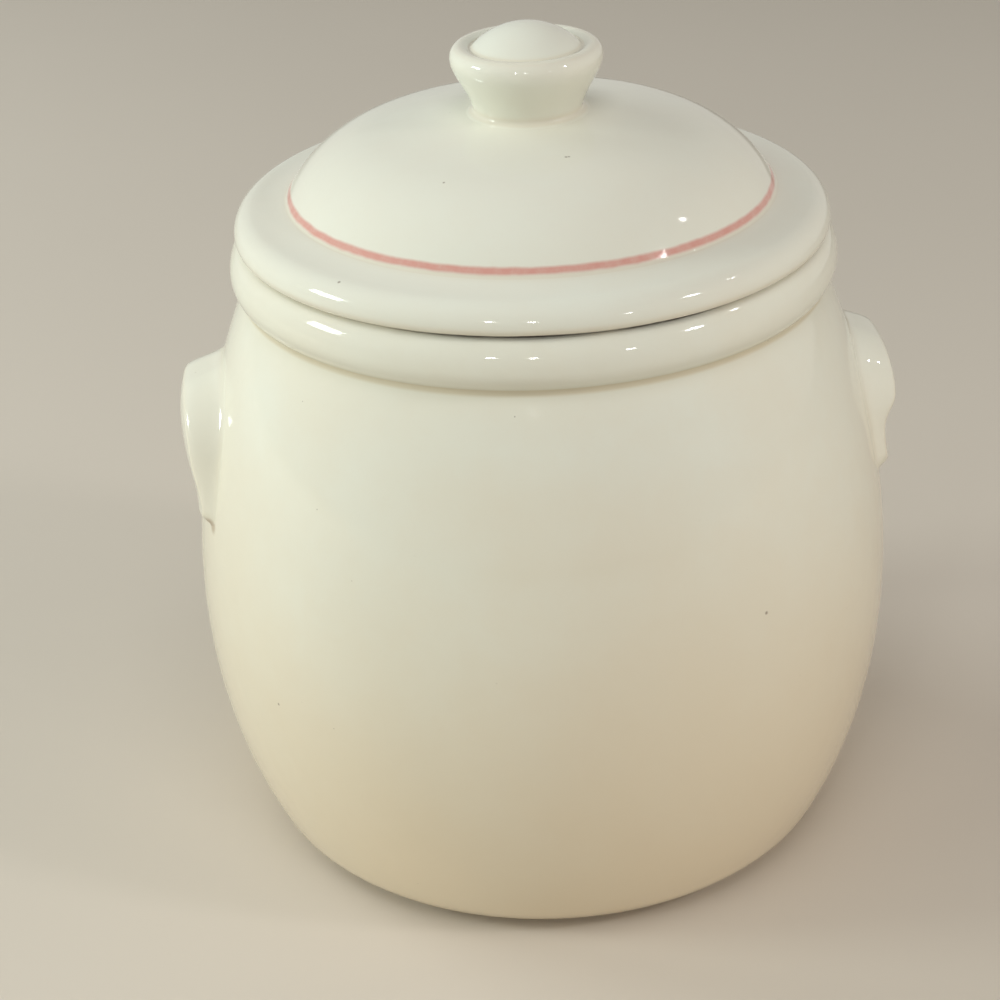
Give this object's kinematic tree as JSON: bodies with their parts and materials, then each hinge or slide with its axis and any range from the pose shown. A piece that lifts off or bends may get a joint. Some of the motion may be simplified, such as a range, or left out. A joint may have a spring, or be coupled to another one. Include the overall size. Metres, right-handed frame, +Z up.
{
  "type": "biscuit jar",
  "caption": "Round bellied ceramic biscuit jar with a rolled rim, ear handles at its sides and a loose domed lid with a flared knob.",
  "frame": {"origin": "centre of the foot, on the surface that the jar stands on", "axes": "+Z up along the jar's axis, +X through handle_right"},
  "size_m": [0.2194, 0.2154, 0.2547],
  "materials": {
    "jar_glaze": "gloss",
    "lid_glaze": "gloss"
  },
  "bodies": {
    "jar": {"jar_body": "jar_glaze", "handle_left": "jar_glaze", "handle_right": "jar_glaze"},
    "lid": {"lid": "lid_glaze", "lid_knob": "lid_glaze"}
  },
  "joints": [
    {"name": "lid_lift", "type": "slide", "parent": "jar", "child": "lid", "axis": [0, 0, 1], "range_m": [0, 0.16]}
  ]
}
